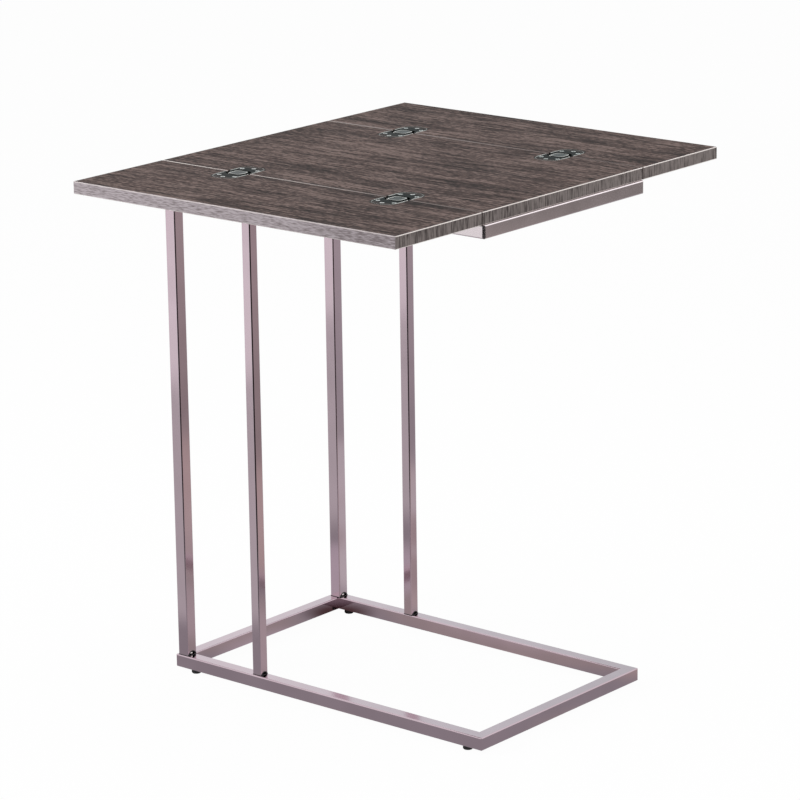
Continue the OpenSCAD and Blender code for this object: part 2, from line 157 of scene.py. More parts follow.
def add_node(tree, kind, values=None, links=None, stops=None, **settings):
    """Adds a node with its settings, its socket values and its links from other sockets.

    Stops are the (position, colour) pairs of a colour ramp.
    """
    node = tree.nodes.new(kind)
    for name, value in settings.items():
        setattr(node, name, value)
    for socket, value in (values or {}).items():
        node.inputs[socket].default_value = value
    for socket, source in (links or {}).items():
        tree.links.new(source, node.inputs[socket])
    if stops:
        elements = node.color_ramp.elements
        while len(elements) < len(stops):
            elements.new(0.5)
        for element, (position, colour) in zip(elements, stops):
            element.position = position
            element.color = colour
    return node


def new_material(name):
    """An empty material and its node tree."""
    material = bpy.data.materials.new(name)
    material.use_nodes = True
    material.node_tree.nodes.clear()
    return material, material.node_tree


def stretched_noise(tree, place, across, along, detail, roughness=0.5):
    """Noise whose features are `across` wide in Y and Z and `along` long in X, in metres."""
    scaled = add_node(tree, "ShaderNodeVectorMath", operation="MULTIPLY",
                      values={1: (1 / along, 1 / across, 1 / across)}, links={0: place})
    return add_node(tree, "ShaderNodeTexNoise",
                    values={"Scale": 1.0, "Detail": detail, "Roughness": roughness},
                    links={"Vector": scaled.outputs[0]}).outputs["Fac"]


def grey(level):
    """A linear grey with an alpha of one."""
    return (level, level, level, 1.0)


def wood_print(finish):
    """Oak print on melamine paper, pressed onto particle board with a fine pore texture.

    To the eye it is matt and grey-brown, with broad soft bands, streaks that waver, and short
    dark pores, all along X. The tone adds the three at 26, 32 and 42 percent.
    """
    material, tree = new_material("melamine_oak_print")
    place = add_node(tree, "ShaderNodeTexCoord").outputs["Object"]
    # A slow sideways drift of the growth rings bends every streak by up to 12 mm
    sway = 12 * MM
    drift = stretched_noise(tree, place, 90 * MM, 260 * MM, 1.0)
    shift = add_node(tree, "ShaderNodeMath", operation="MULTIPLY_ADD",
                     values={1: 2 * sway, 2: -sway}, links={0: drift})
    offset = add_node(tree, "ShaderNodeCombineXYZ", links={"Y": shift.outputs[0]})
    bent = add_node(tree, "ShaderNodeVectorMath", operation="ADD",
                    links={0: place, 1: offset.outputs[0]}).outputs[0]
    bands = stretched_noise(tree, bent, 28 * MM, 200 * MM, 2.0)
    streaks = stretched_noise(tree, bent, 3.4 * MM, 60 * MM, 1.0, 0.6)
    # Real pores are 0.2 mm wide; they are drawn some 2 mm wide, as they would not show otherwise
    pores = stretched_noise(tree, bent, 1.9 * MM, 7.0 * MM, 1.0, 0.6)
    weighted = add_node(tree, "ShaderNodeMath", operation="MULTIPLY",
                        values={1: 0.32}, links={0: streaks})
    fine = add_node(tree, "ShaderNodeMath", operation="MULTIPLY_ADD",
                    values={1: 0.42}, links={0: pores, 2: weighted.outputs[0]})
    mixed = add_node(tree, "ShaderNodeMath", operation="MULTIPLY_ADD",
                     values={1: 0.26}, links={0: bands, 2: fine.outputs[0]})
    # Painted shade beside the front seam near the open end: a dark patch, 200 by 16 mm, for the
    # shade along that seam
    away = add_node(tree, "ShaderNodeVectorMath", operation="SUBTRACT",
                    values={1: (130 * MM, -157 * MM, 0.0)}, links={0: place})
    scaled = add_node(tree, "ShaderNodeVectorMath", operation="MULTIPLY",
                      values={1: (1 / (100 * MM), 1 / (8 * MM), 0.0)},
                      links={0: away.outputs[0]})
    seam_shade_reach = add_node(tree, "ShaderNodeVectorMath", operation="LENGTH",
                      links={0: scaled.outputs[0]}).outputs["Value"]
    seam_shade = add_node(tree, "ShaderNodeMapRange", interpolation_type="SMOOTHSTEP",
                    values={"From Min": 0.3, "From Max": 1.3, "To Min": -0.09, "To Max": 0.0},
                    links={"Value": seam_shade_reach}).outputs[0]
    toned = add_node(tree, "ShaderNodeMath", operation="ADD",
                     links={0: mixed.outputs[0], 1: seam_shade}).outputs[0]
    colour = add_node(tree, "ShaderNodeValToRGB", links={"Fac": toned},
                      stops=[(0.40, finish.wood_dark), (0.50, finish.wood_mid),
                             (0.60, finish.wood_light)]).outputs["Color"]
    rough = add_node(tree, "ShaderNodeMapRange",
                     values={"To Min": 0.58, "To Max": 0.42}, links={"Value": streaks})
    bump = add_node(tree, "ShaderNodeBump", values={"Strength": 0.35, "Distance": 0.12 * MM},
                    links={"Height": pores})
    shader = add_node(tree, "ShaderNodeBsdfPrincipled",
                      values={"IOR": 1.5, "Specular IOR Level": 0.03},
                      links={"Base Color": colour, "Roughness": rough.outputs[0],
                             "Normal": bump.outputs[0]})
    add_node(tree, "ShaderNodeOutputMaterial", links={"Surface": shader.outputs[0]})
    return material


def edging_print(finish):
    """Extruded plastic edging strip, printed, lacquered and scraped flush with the board.

    To the eye it is a little glossier than the board, with grain along the long edges, upright
    strokes on the ends, and a pale painted highlight along the arris, which is glossier too.
    """
    material, tree = new_material("edging_strip_oak_print")
    coords = add_node(tree, "ShaderNodeTexCoord")
    place = coords.outputs["Object"]
    # Strokes on the long edges run along X and are 1.3 mm apart
    long_grain = stretched_noise(tree, place, 1.3 * MM, 10 * MM, 2.0, 0.6)
    # Strokes on the short edges stand upright, 1.8 mm apart and taller than the board
    scaled = add_node(tree, "ShaderNodeVectorMath", operation="MULTIPLY",
                      values={1: (1 / (6 * MM), 1 / (1.8 * MM), 1 / (24 * MM))},
                      links={0: place})
    end_grain = add_node(tree, "ShaderNodeTexNoise",
                         values={"Scale": 1.0, "Detail": 3.0, "Roughness": 0.65},
                         links={"Vector": scaled.outputs[0]}).outputs["Fac"]
    parts = add_node(tree, "ShaderNodeSeparateXYZ", links={"Vector": coords.outputs["Normal"]})
    facing = add_node(tree, "ShaderNodeMath", operation="ABSOLUTE",
                      links={0: parts.outputs["X"]})
    grain = add_node(tree, "ShaderNodeMix", data_type="FLOAT",
                     links={FACTOR: facing.outputs[0], NUMBER_A: long_grain, NUMBER_B: end_grain})
    # Painted shade: the edging is darker towards the open end on the sides and towards the front
    # on the ends
    where = add_node(tree, "ShaderNodeSeparateXYZ", links={"Vector": place})
    side_shade = add_node(tree, "ShaderNodeMapRange",
                          values={"From Min": 80 * MM, "From Max": 190 * MM,
                                  "To Min": 0.0, "To Max": -0.09},
                          links={"Value": where.outputs["X"]}).outputs[0]
    side_tone = add_node(tree, "ShaderNodeMath", operation="ADD",
                         links={0: grain.outputs[0], 1: side_shade}).outputs[0]
    # Painted light: the long edges get the lighter of the two edging ramps, for the lamp at the
    # front left
    sides = add_node(tree, "ShaderNodeValToRGB", links={"Fac": side_tone},
                     stops=[(0.30, finish.side_dark), (0.60, finish.side_light)]).outputs["Color"]
    end_shade = add_node(tree, "ShaderNodeMapRange",
                         values={"From Min": -240 * MM, "From Max": 200 * MM,
                                 "To Min": -0.035, "To Max": 0.03},
                         links={"Value": where.outputs["Y"]}).outputs[0]
    end_tone = add_node(tree, "ShaderNodeMath", operation="ADD",
                        links={0: grain.outputs[0], 1: end_shade}).outputs[0]
    ends = add_node(tree, "ShaderNodeValToRGB", links={"Fac": end_tone},
                    stops=[(0.36, finish.end_dark), (0.54, finish.end_light)]).outputs["Color"]
    # The strips along the seams carry the panels' own dark print; the outer sides lie past 250 mm
    across = add_node(tree, "ShaderNodeMath", operation="ABSOLUTE",
                      links={0: where.outputs["Y"]}).outputs[0]
    outer = add_node(tree, "ShaderNodeMath", operation="GREATER_THAN", values={1: 250 * MM},
                     links={0: across}).outputs[0]
    sides = add_node(tree, "ShaderNodeMix", data_type="RGBA", values={COLOUR_A: finish.wood_mid},
                     links={FACTOR: outer, COLOUR_B: sides}).outputs[MIXED]
    printed = add_node(tree, "ShaderNodeMix", data_type="RGBA",
                       links={FACTOR: facing.outputs[0], COLOUR_A: sides,
                              COLOUR_B: ends}).outputs[MIXED]
    # Painted highlight: the pale core colour is painted along the scraped and buffed arris, all
    # along the ends, thinly along the outer sides, and at the seams mostly near the legs
    tilt = add_node(tree, "ShaderNodeMath", operation="ABSOLUTE",
                    links={0: parts.outputs["Z"]}).outputs[0]
    arris = add_node(tree, "ShaderNodeValToRGB", links={"Fac": tilt},
                     stops=[(0.12, grey(0.0)), (0.3, grey(1.0)), (0.9, grey(1.0)),
                            (0.98, grey(0.0))]).outputs["Color"]
    seam = add_node(tree, "ShaderNodeMapRange",
                    values={"From Min": -240 * MM, "From Max": 130 * MM,
                            "To Min": 0.62, "To Max": 0.1},
                    links={"Value": where.outputs["X"]}).outputs[0]
    # The painted highlight is half as strong on the rear seam as on the front seam
    rear = add_node(tree, "ShaderNodeMapRange",
                    values={"From Min": -10 * MM, "From Max": 10 * MM,
                            "To Min": 1.0, "To Max": 0.5},
                    links={"Value": where.outputs["Y"]}).outputs[0]
    seam = add_node(tree, "ShaderNodeMath", operation="MULTIPLY",
                    links={0: seam, 1: rear}).outputs[0]
    scraped = add_node(tree, "ShaderNodeMix", data_type="FLOAT", values={NUMBER_B: 0.35},
                       links={FACTOR: outer, NUMBER_A: seam}).outputs[0]
    side_on = add_node(tree, "ShaderNodeMapRange",
                       values={"From Min": 0.1, "From Max": 0.3},
                       links={"Value": facing.outputs[0]}).outputs[0]
    share = add_node(tree, "ShaderNodeMix", data_type="FLOAT", values={NUMBER_B: 1.0},
                     links={FACTOR: side_on, NUMBER_A: scraped}).outputs[0]
    arris_highlight = add_node(tree, "ShaderNodeMath", operation="MULTIPLY",
                    links={0: arris, 1: share}).outputs[0]
    colour = add_node(tree, "ShaderNodeMix", data_type="RGBA", values={COLOUR_B: finish.core},
                      links={FACTOR: arris_highlight, COLOUR_A: printed}).outputs[MIXED]
    rough = add_node(tree, "ShaderNodeMapRange", values={"To Min": 0.45, "To Max": 0.28},
                     links={"Value": arris_highlight}).outputs[0]
    bump = add_node(tree, "ShaderNodeBump", values={"Strength": 0.3, "Distance": 0.1 * MM},
                    links={"Height": grain.outputs[0]})
    shader = add_node(tree, "ShaderNodeBsdfPrincipled",
                      values={"IOR": 1.5, "Specular IOR Level": 0.4},
                      links={"Base Color": colour, "Roughness": rough,
                             "Normal": bump.outputs[0]})
    add_node(tree, "ShaderNodeOutputMaterial", links={"Surface": shader.outputs[0]})
    return material


def metal(name, colour, roughness, spread, glancing=1.0, depth=0.02 * MM, ends=None):
    """A plated or cast metal: one tint in slow patches 45 mm across, and marks 2 mm apart.

    Spread is how much lighter and darker than the tint the patches are, and depth is how deep
    the marks are. Glancing is how much light it mirrors at a shallow angle. Ends is the colour
    that hinge plates are rubbed to at their far ends, away from the seam.
    """
    material, tree = new_material(name)
    place = add_node(tree, "ShaderNodeTexCoord").outputs["Object"]
    patches = add_node(tree, "ShaderNodeTexNoise",
                       values={"Scale": 1 / (45 * MM), "Detail": 2.0},
                       links={"Vector": place}).outputs["Fac"]
    # Real draw marks are 0.05 mm apart; they are drawn coarser, as they would not show otherwise
    lines = add_node(tree, "ShaderNodeTexNoise",
                     values={"Scale": 1 / (2.0 * MM), "Detail": 2.0},
                     links={"Vector": place}).outputs["Fac"]
    dark = tuple(c * (1 - spread) for c in colour[:3]) + (1.0,)
    light = tuple(min(1.0, c * (1 + spread)) for c in colour[:3]) + (1.0,)
    tint = add_node(tree, "ShaderNodeValToRGB", links={"Fac": patches},
                    stops=[(0.35, dark), (0.65, light)]).outputs["Color"]
    if ends:
        parts = add_node(tree, "ShaderNodeSeparateXYZ", links={"Vector": place})
        across = add_node(tree, "ShaderNodeMath", operation="ABSOLUTE",
                          links={0: parts.outputs["Y"]}).outputs[0]
        black = add_node(tree, "ShaderNodeMath", operation="COMPARE",
                         values={1: SEAM_Y, 2: BLACK_REACH}, links={0: across}).outputs[0]
        tint = add_node(tree, "ShaderNodeMix", data_type="RGBA", values={COLOUR_A: ends},
                        links={FACTOR: black, COLOUR_B: tint}).outputs[MIXED]
    rough = add_node(tree, "ShaderNodeMapRange",
                     values={"From Min": 0.3, "From Max": 0.7, "To Min": roughness * 0.85,
                             "To Max": roughness * 1.2}, links={"Value": patches})
    bump = add_node(tree, "ShaderNodeBump",
                    values={"Strength": 0.25, "Distance": depth}, links={"Height": lines})
    shader = add_node(tree, "ShaderNodeBsdfPrincipled",
                      values={"Metallic": 1.0, "Specular Tint": grey(glancing)},
                      links={"Base Color": tint, "Roughness": rough.outputs[0],
                             "Normal": bump.outputs[0]})
    add_node(tree, "ShaderNodeOutputMaterial", links={"Surface": shader.outputs[0]})
    return material


def moulded_plastic():
    """Black polyethylene, moulded: soft gloss with a fine spark-eroded grain."""
    material, tree = new_material("moulded_black_polyethylene")
    place = add_node(tree, "ShaderNodeTexCoord").outputs["Object"]
    # Real pits are 0.05 mm across; they are drawn 0.6 mm across, as they would not show otherwise
    grain = add_node(tree, "ShaderNodeTexNoise", values={"Scale": 1 / (0.6 * MM)},
                     links={"Vector": place}).outputs["Fac"]
    colour = add_node(tree, "ShaderNodeValToRGB", links={"Fac": grain},
                      stops=[(0.3, linear("#0e0e0f")),
                             (0.7, linear("#1c1c1d"))]).outputs["Color"]
    bump = add_node(tree, "ShaderNodeBump", values={"Strength": 0.3, "Distance": 0.05 * MM},
                    links={"Height": grain})
    shader = add_node(tree, "ShaderNodeBsdfPrincipled", values={"Roughness": 0.45, "IOR": 1.5},
                      links={"Base Color": colour, "Normal": bump.outputs[0]})
    add_node(tree, "ShaderNodeOutputMaterial", links={"Surface": shader.outputs[0]})
    return material


def dress(names, material):
    """Gives CAD nodes a material in each of their slots."""
    for name in names:
        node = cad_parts[name]
        if not node.material_slots:
            node.data.materials.append(material)
        for slot in node.material_slots:
            slot.material = material


def grid_faces(rows, columns, closed_rows, closed_columns):
    """Quads between neighbouring grid points, with the last row or column joined to the first."""
    r = np.arange(rows if closed_rows else rows - 1)[:, None]
    c = np.arange(columns if closed_columns else columns - 1)[None, :]
    r_next, c_next = (r + 1) % rows, (c + 1) % columns
    quads = [r * columns + c, r * columns + c_next, r_next * columns + c_next,
             r_next * columns + c]
    return np.stack(np.broadcast_arrays(*quads), -1).reshape(-1, 4)


def surface_piece(name, points, faces, material, body):
    """Makes a mesh from points (n, 3) and quads (m, 4), on a body and in a material slot."""
    mesh = bpy.data.meshes.new(name)
    mesh.from_pydata(points.tolist(), [], faces.tolist())
    mesh.polygons.foreach_set("use_smooth", np.ones(len(mesh.polygons), bool))
    mesh.materials.append(material)
    mesh.update()
    piece = bpy.data.objects.new(name, mesh)
    bpy.context.scene.collection.objects.link(piece)
    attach(piece, body)


def carried_profile(path, sideways, up, profile, closed):
    """A closed profile carried along a path that is closed itself or has flat ends.

    Point (i, j) is path[i] + sideways[i] * profile[j, 0] + up[i] * profile[j, 1].
    An open path gets one more ring at each end, shrunk to the middle of the profile.
    """
    rings = (path[:, None] + sideways[:, None] * profile[None, :, :1]
             + up[:, None] * profile[None, :, 1:])
    if not closed:
        caps = [np.broadcast_to(ring.mean(0), ring.shape)[None] for ring in rings[[0, -1]]]
        rings = np.concatenate([caps[0], rings, caps[1]])
    faces = grid_faces(len(rings), len(profile), closed, True)
    return rings.reshape(-1, 3), faces


def half_round(width, height, steps=8):
    """Profile with a flat foot and an elliptic back: (w/2 cos a, h sin a) for a from 0 to 180."""
    angle = np.linspace(0, math.pi, steps + 1)
    return np.stack([width / 2 * np.cos(angle), height * np.sin(angle)], -1)


def round_corner(centre, radius, start_angle, steps=10):
    """Quarter circle: centre + radius * (cos a, sin a) for a over 90 degrees from start_angle."""
    angle = start_angle + np.linspace(0, math.pi / 2, steps + 1)
    return np.array(centre) + radius * np.stack([np.cos(angle), np.sin(angle)], -1)


def bead_along(name, path, width, height, closed, material, body, swell=1.0):
    """A half-round bead on a level path of points (n, 3), its section scaled by swell."""
    if closed:
        along = np.roll(path, -1, axis=0) - np.roll(path, 1, axis=0)
    else:
        along = np.gradient(path, axis=0)
    along /= np.linalg.norm(along, axis=1, keepdims=True)
    up = np.broadcast_to([0.0, 0.0, 1.0], path.shape)
    sideways = np.cross(along, up)
    points, faces = carried_profile(path, sideways * swell, up * swell,
                                    half_round(width, height), closed)
    surface_piece(name, points, faces, material, body)


def plate_rim(hinge, part, sizes, material):
    """Rim on a hinge plate: a bead along one side, round the two outer corners, and back.

    It is worn at the outer end: its section shrinks from 1 to 0.2 of its full size as the
    distance from the plate's inner end goes from 17 to 27 mm.
    """
    low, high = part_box(f"{hinge}_{part}")
    outward = 1 if (low.y + high.y > 0) == (part == "leaf_plate") else -1
    inset = sizes.rim_width / 2
    radius = sizes.rim_corner - inset
    half = (high.x - low.x) / 2 - inset
    middle = (low.x + high.x) / 2
    seam_end, round_end = (low.y, high.y) if outward > 0 else (high.y, low.y)
    length = abs(round_end - seam_end) - inset
    # The bead starts beyond the knuckle's curve, and its straight side has four points
    start = 2.8 * MM
    side_y = np.linspace(start, length - radius, 5)[:-1]
    side = np.stack([np.full_like(side_y, half), side_y], -1)
    near = round_corner((half - radius, length - radius), radius, 0.0)
    far = round_corner((radius - half, length - radius), radius, math.pi / 2)
    level = np.concatenate([side, near, far, side[::-1] * (-1, 1)])
    path = np.stack([middle + level[:, 0], seam_end + outward * level[:, 1],
                     np.full(len(level), high.z)], -1)
    body = "table" if part == "panel_plate" else hinge.split("_")[0] + "_leaf"
    worn_from, worn_to, left = 17 * MM, 27 * MM, 0.2
    swell = np.interp(level[:, 1:], (worn_from, worn_to), (1.0, left))
    bead_along(f"{hinge}_{part}_rim", path, sizes.rim_width, sizes.rim_height, False, material,
               body, swell)


def link_rim(hinge, sizes, material):
    """Rim on a hinge link: a closed bead along its sides and round its four corners.

    Its section is 0.35 + 0.75 (x / a) ^ 2 of its full size, where a is half the link's width.
    """
    low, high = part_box(f"{hinge}_link")
    inset = sizes.rim_width / 2
    radius = sizes.link_corner - inset
    half_x = (high.x - low.x) / 2 - inset - radius
    half_y = (high.y - low.y) / 2 - inset - radius
    corners = [round_corner((sx * half_x, sy * half_y), radius, turn * math.pi / 2)
               for turn, (sx, sy) in enumerate(AROUND)]
    level = np.concatenate(corners)
    path = np.stack([(low.x + high.x) / 2 + level[:, 0], (low.y + high.y) / 2 + level[:, 1],
                     np.full(len(level), high.z)], -1)
    swell = 0.35 + 0.75 * (level[:, :1] / (half_x + radius)) ** 2
    bead_along(f"{hinge}_link_rim", path, sizes.rim_width, sizes.rim_height, True, material,
               hinge.split("_")[0] + "_links", swell)


def notch_place(leg):
    """Centre and radius of the drain notch in a leg's open-end face, as in the part's source."""
    low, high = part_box(leg)
    centre = np.array([high.x, (low.y + high.y) / 2, low.z - NOTCH_DROP])
    return centre, (high.y - low.y) / 2 - LEG_WALL - NOTCH_LAND


def notch_grommet(leg, sizes, material):
    """Rubber bead round the drain notch at a leg's foot.

    A round profile is carried along the arc (y, z) = (R cos a, R sin a) on the leg's open-end
    face, with R the notch's radius. It is 0.6 + 0.9 cos(a) ^ 4 of its full size, so it grows
    towards the rail, and half as thick along X.
    """
    centre, radius = notch_place(leg)
    # Its ends stop short of the rail
    clearance = 0.4 * MM
    arc_points, profile_points = 25, 12
    first = math.asin((NOTCH_DROP + clearance) / radius)
    angle = np.linspace(first, math.pi - first, arc_points)
    outward = np.stack([np.zeros_like(angle), np.cos(angle), np.sin(angle)], -1)
    path = centre + radius * outward
    turn = np.linspace(0, 2 * math.pi, profile_points, endpoint=False)
    profile = sizes.grommet * np.stack([np.cos(turn), np.sin(turn)], -1)
    swell = 0.6 + 0.9 * np.cos(angle)[:, None] ** 4
    across = np.broadcast_to([0.5, 0.0, 0.0], path.shape)
    points, faces = carried_profile(path, outward * swell, across * swell, profile, False)
    surface_piece(f"{leg}_notch_grommet", points, faces, material, "table")


def foot_contact_shadow(leg, sizes, material):
    """Dark bead round a leg's foot, a painted contact shadow: a half-round carried along the leg's
    rounded outline.
    """
    low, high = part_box(leg)
    half = (high.x - low.x) / 2 - LEG_ROUNDING
    corners = [round_corner((sx * half, sy * half), LEG_ROUNDING, turn * math.pi / 2, 5)
               for turn, (sx, sy) in enumerate(AROUND)]
    level = np.concatenate(corners)
    middle = np.array([(low.x + high.x) / 2, (low.y + high.y) / 2])
    path = np.concatenate([middle + level, np.full((len(level), 1), low.z)], 1)
    bead_along(f"{leg}_foot_contact_shadow", path, 2 * sizes.contact_shadow_height, sizes.contact_shadow_height, True, material,
               "table")


def notch_stud(leg, sizes, material):
    """Domed end of a set screw in the plug, seen in the notch of a corner leg.

    The dome is (h sin p, 1.5 r cos p cos a, r cos p sin a) for p from 0 to 90 degrees and a
    from 0 to 360. It stands on the plug's face and ends inside the leg's face.
    """
    plug_face, inside, above_rail = 1.5 * MM, 0.2 * MM, 0.7 * MM
    rise_points, turn_points = 7, 20
    middle = notch_place(leg)[0] + (-plug_face, 0.0, NOTCH_DROP + sizes.stud + above_rail)
    rise = np.linspace(0, math.pi / 2, rise_points)[:, None]
    turn = np.linspace(0, 2 * math.pi, turn_points, endpoint=False)[None, :]
    reach = sizes.stud * np.cos(rise)
    height = (plug_face - inside) * np.sin(rise)
    axes = (height, 1.5 * reach * np.cos(turn), reach * np.sin(turn))
    dome = np.stack(np.broadcast_arrays(*axes), -1)
    foot = np.zeros_like(dome[:1])
    rings = middle + np.concatenate([foot, dome])
    faces = grid_faces(len(rings), turn_points, False, True)
    surface_piece(f"{leg}_notch_stud", rings.reshape(-1, 3), faces, material, "table")


class TABLE_OT_panels(bpy.types.Operator):
    """Gives the three panels their wood print and their edging strips."""

    bl_idname = "table.panels"
    bl_label = "Panels"

    def execute(self, context):
        finish = context.scene.table_finish
        dress(PANELS, wood_print(finish))
        dress([f"{panel}_edging" for panel in PANELS], edging_print(finish))
        return {"FINISHED"}


class TABLE_OT_frame(bpy.types.Operator):
    """Gives the tubes, plugs, bolts, screws and feet their finishes."""

    bl_idname = "table.frame"
    bl_label = "Frame"

    def execute(self, context):
        finish = context.scene.table_finish
        sizes = context.scene.table_sizes
        # Drawn tube, polished and plated: rose-toned, and it mirrors the room almost sharply
        champagne = metal("champagne_plated_steel_tube", finish.metal, roughness=0.11,
                          spread=0.03)
        # The same tube from a paler bath: lighter, and a little softer in its gloss
        pale = metal("nickel_plated_steel_tube", finish.top_metal, roughness=0.16, spread=0.03)
        # Turned steel, blackened in an oxide bath: dark, with a dull broad gleam
        blackened = metal("black_oxide_steel", linear("#1b1a1b"), roughness=0.4, spread=0.2)
        # Headed steel, zinc plated: pale grey and half dull
        zinc = metal("zinc_plated_steel", linear("#c4c4c2"), roughness=0.3, spread=0.08)
        # Turned steel, polished at its end: one small bright point in the dark notch
        polished = metal("polished_set_screw_steel", linear("#e4e2df"), roughness=0.12,
                         spread=0.03)
        black = moulded_plastic()
        dress(BASE_RAILS + LEGS, champagne)
        dress(TOP_RAILS, pale)
        dress(("leg_foot_plugs", "leg_head_plugs"), blackened)
        dress(("base_bolts", "top_bolts", "panel_screws"), zinc)
        dress(("feet",), black)
        for leg in LEGS:
            notch_grommet(leg, sizes, black)
            # A dark bead at each foot, as painted contact shadow
            foot_contact_shadow(leg, sizes, black)
        for leg in CORNER_LEGS:
            notch_stud(leg, sizes, polished)
        return {"FINISHED"}


class TABLE_OT_hinges(bpy.types.Operator):
    """Gives the four flip hinges their finishes and their bright rims."""

    bl_idname = "table.hinges"
    bl_label = "Hinges"

    def execute(self, context):
        finish = context.scene.table_finish
        sizes = context.scene.table_sizes
        # Cast zinc in black nickel: smoky, uneven and half dull, rubbed brown at its far ends
        smoked = metal("black_nickel_zinc_casting", finish.plate, roughness=0.32, spread=0.25,
                       glancing=0.45, depth=0.06 * MM, ends=linear("#564c4a"))
        # Nickel rubbed bright on every raised edge: thin light lines round dark plates
        bright = metal("nickel_worn_bright", finish.rim, roughness=0.22, spread=0.08)
        # The link's top is rubbed smoother than the plates: lighter and glossier
        link = metal("black_nickel_zinc_link", finish.link, roughness=0.24, spread=0.1,
                     glancing=0.62)
        # Turned screw heads in bright nickel: light points round each link
        screw = metal("bright_nickel_screw", linear("#f0efec"), roughness=0.2, spread=0.05)
        for hinge in HINGES:
            dress((f"{hinge}_panel_plate", f"{hinge}_leaf_plate"), smoked)
            dress((f"{hinge}_panel_pin", f"{hinge}_leaf_pin"), bright)
            dress((f"{hinge}_link",), link)
            plate_rim(hinge, "panel_plate", sizes, bright)
            plate_rim(hinge, "leaf_plate", sizes, bright)
            link_rim(hinge, sizes, bright)
        dress(("centre_hinge_screws", "front_leaf_hinge_screws", "rear_leaf_hinge_screws"),
              screw)
        return {"FINISHED"}


def direction_share(tree, place):
    """Direction of a place as a share of a full turn: (atan2(y, x) + pi) / (2 pi).

    It is 0 past the leg end, 0.25 in front, 0.5 past the open end and 0.75 behind.
    """
    axis = add_node(tree, "ShaderNodeSeparateXYZ", links={"Vector": place})
    turn = add_node(tree, "ShaderNodeMath", operation="ARCTAN2",
                    links={0: axis.outputs["Y"], 1: axis.outputs["X"]}).outputs[0]
    return add_node(tree, "ShaderNodeMapRange",
                    values={"From Min": -math.pi, "From Max": math.pi},
                    links={"Value": turn}).outputs[0]


def outside_oval(tree, place, centre, start, stop):
    """How far outside an oval a place on the floor lies: 0 up to start and 1 from stop.

    The measure is the length of ((x - cx) / 0.24 m, (y - cy) / 0.15 m), so the sides of the
    base frame are at 1.
    """
    shifted = add_node(tree, "ShaderNodeVectorMath", operation="SUBTRACT",
                       values={1: centre}, links={0: place}).outputs[0]
    shrunk = add_node(tree, "ShaderNodeVectorMath", operation="MULTIPLY",
                      values={1: (1 / 0.24, 1 / 0.15, 0.0)}, links={0: shifted}).outputs[0]
    reach = add_node(tree, "ShaderNodeVectorMath", operation="LENGTH",
                     links={0: shrunk}).outputs["Value"]
    return add_node(tree, "ShaderNodeMapRange", interpolation_type="SMOOTHSTEP",
                    values={"From Min": start, "From Max": stop},
                    links={"Value": reach}).outputs[0]


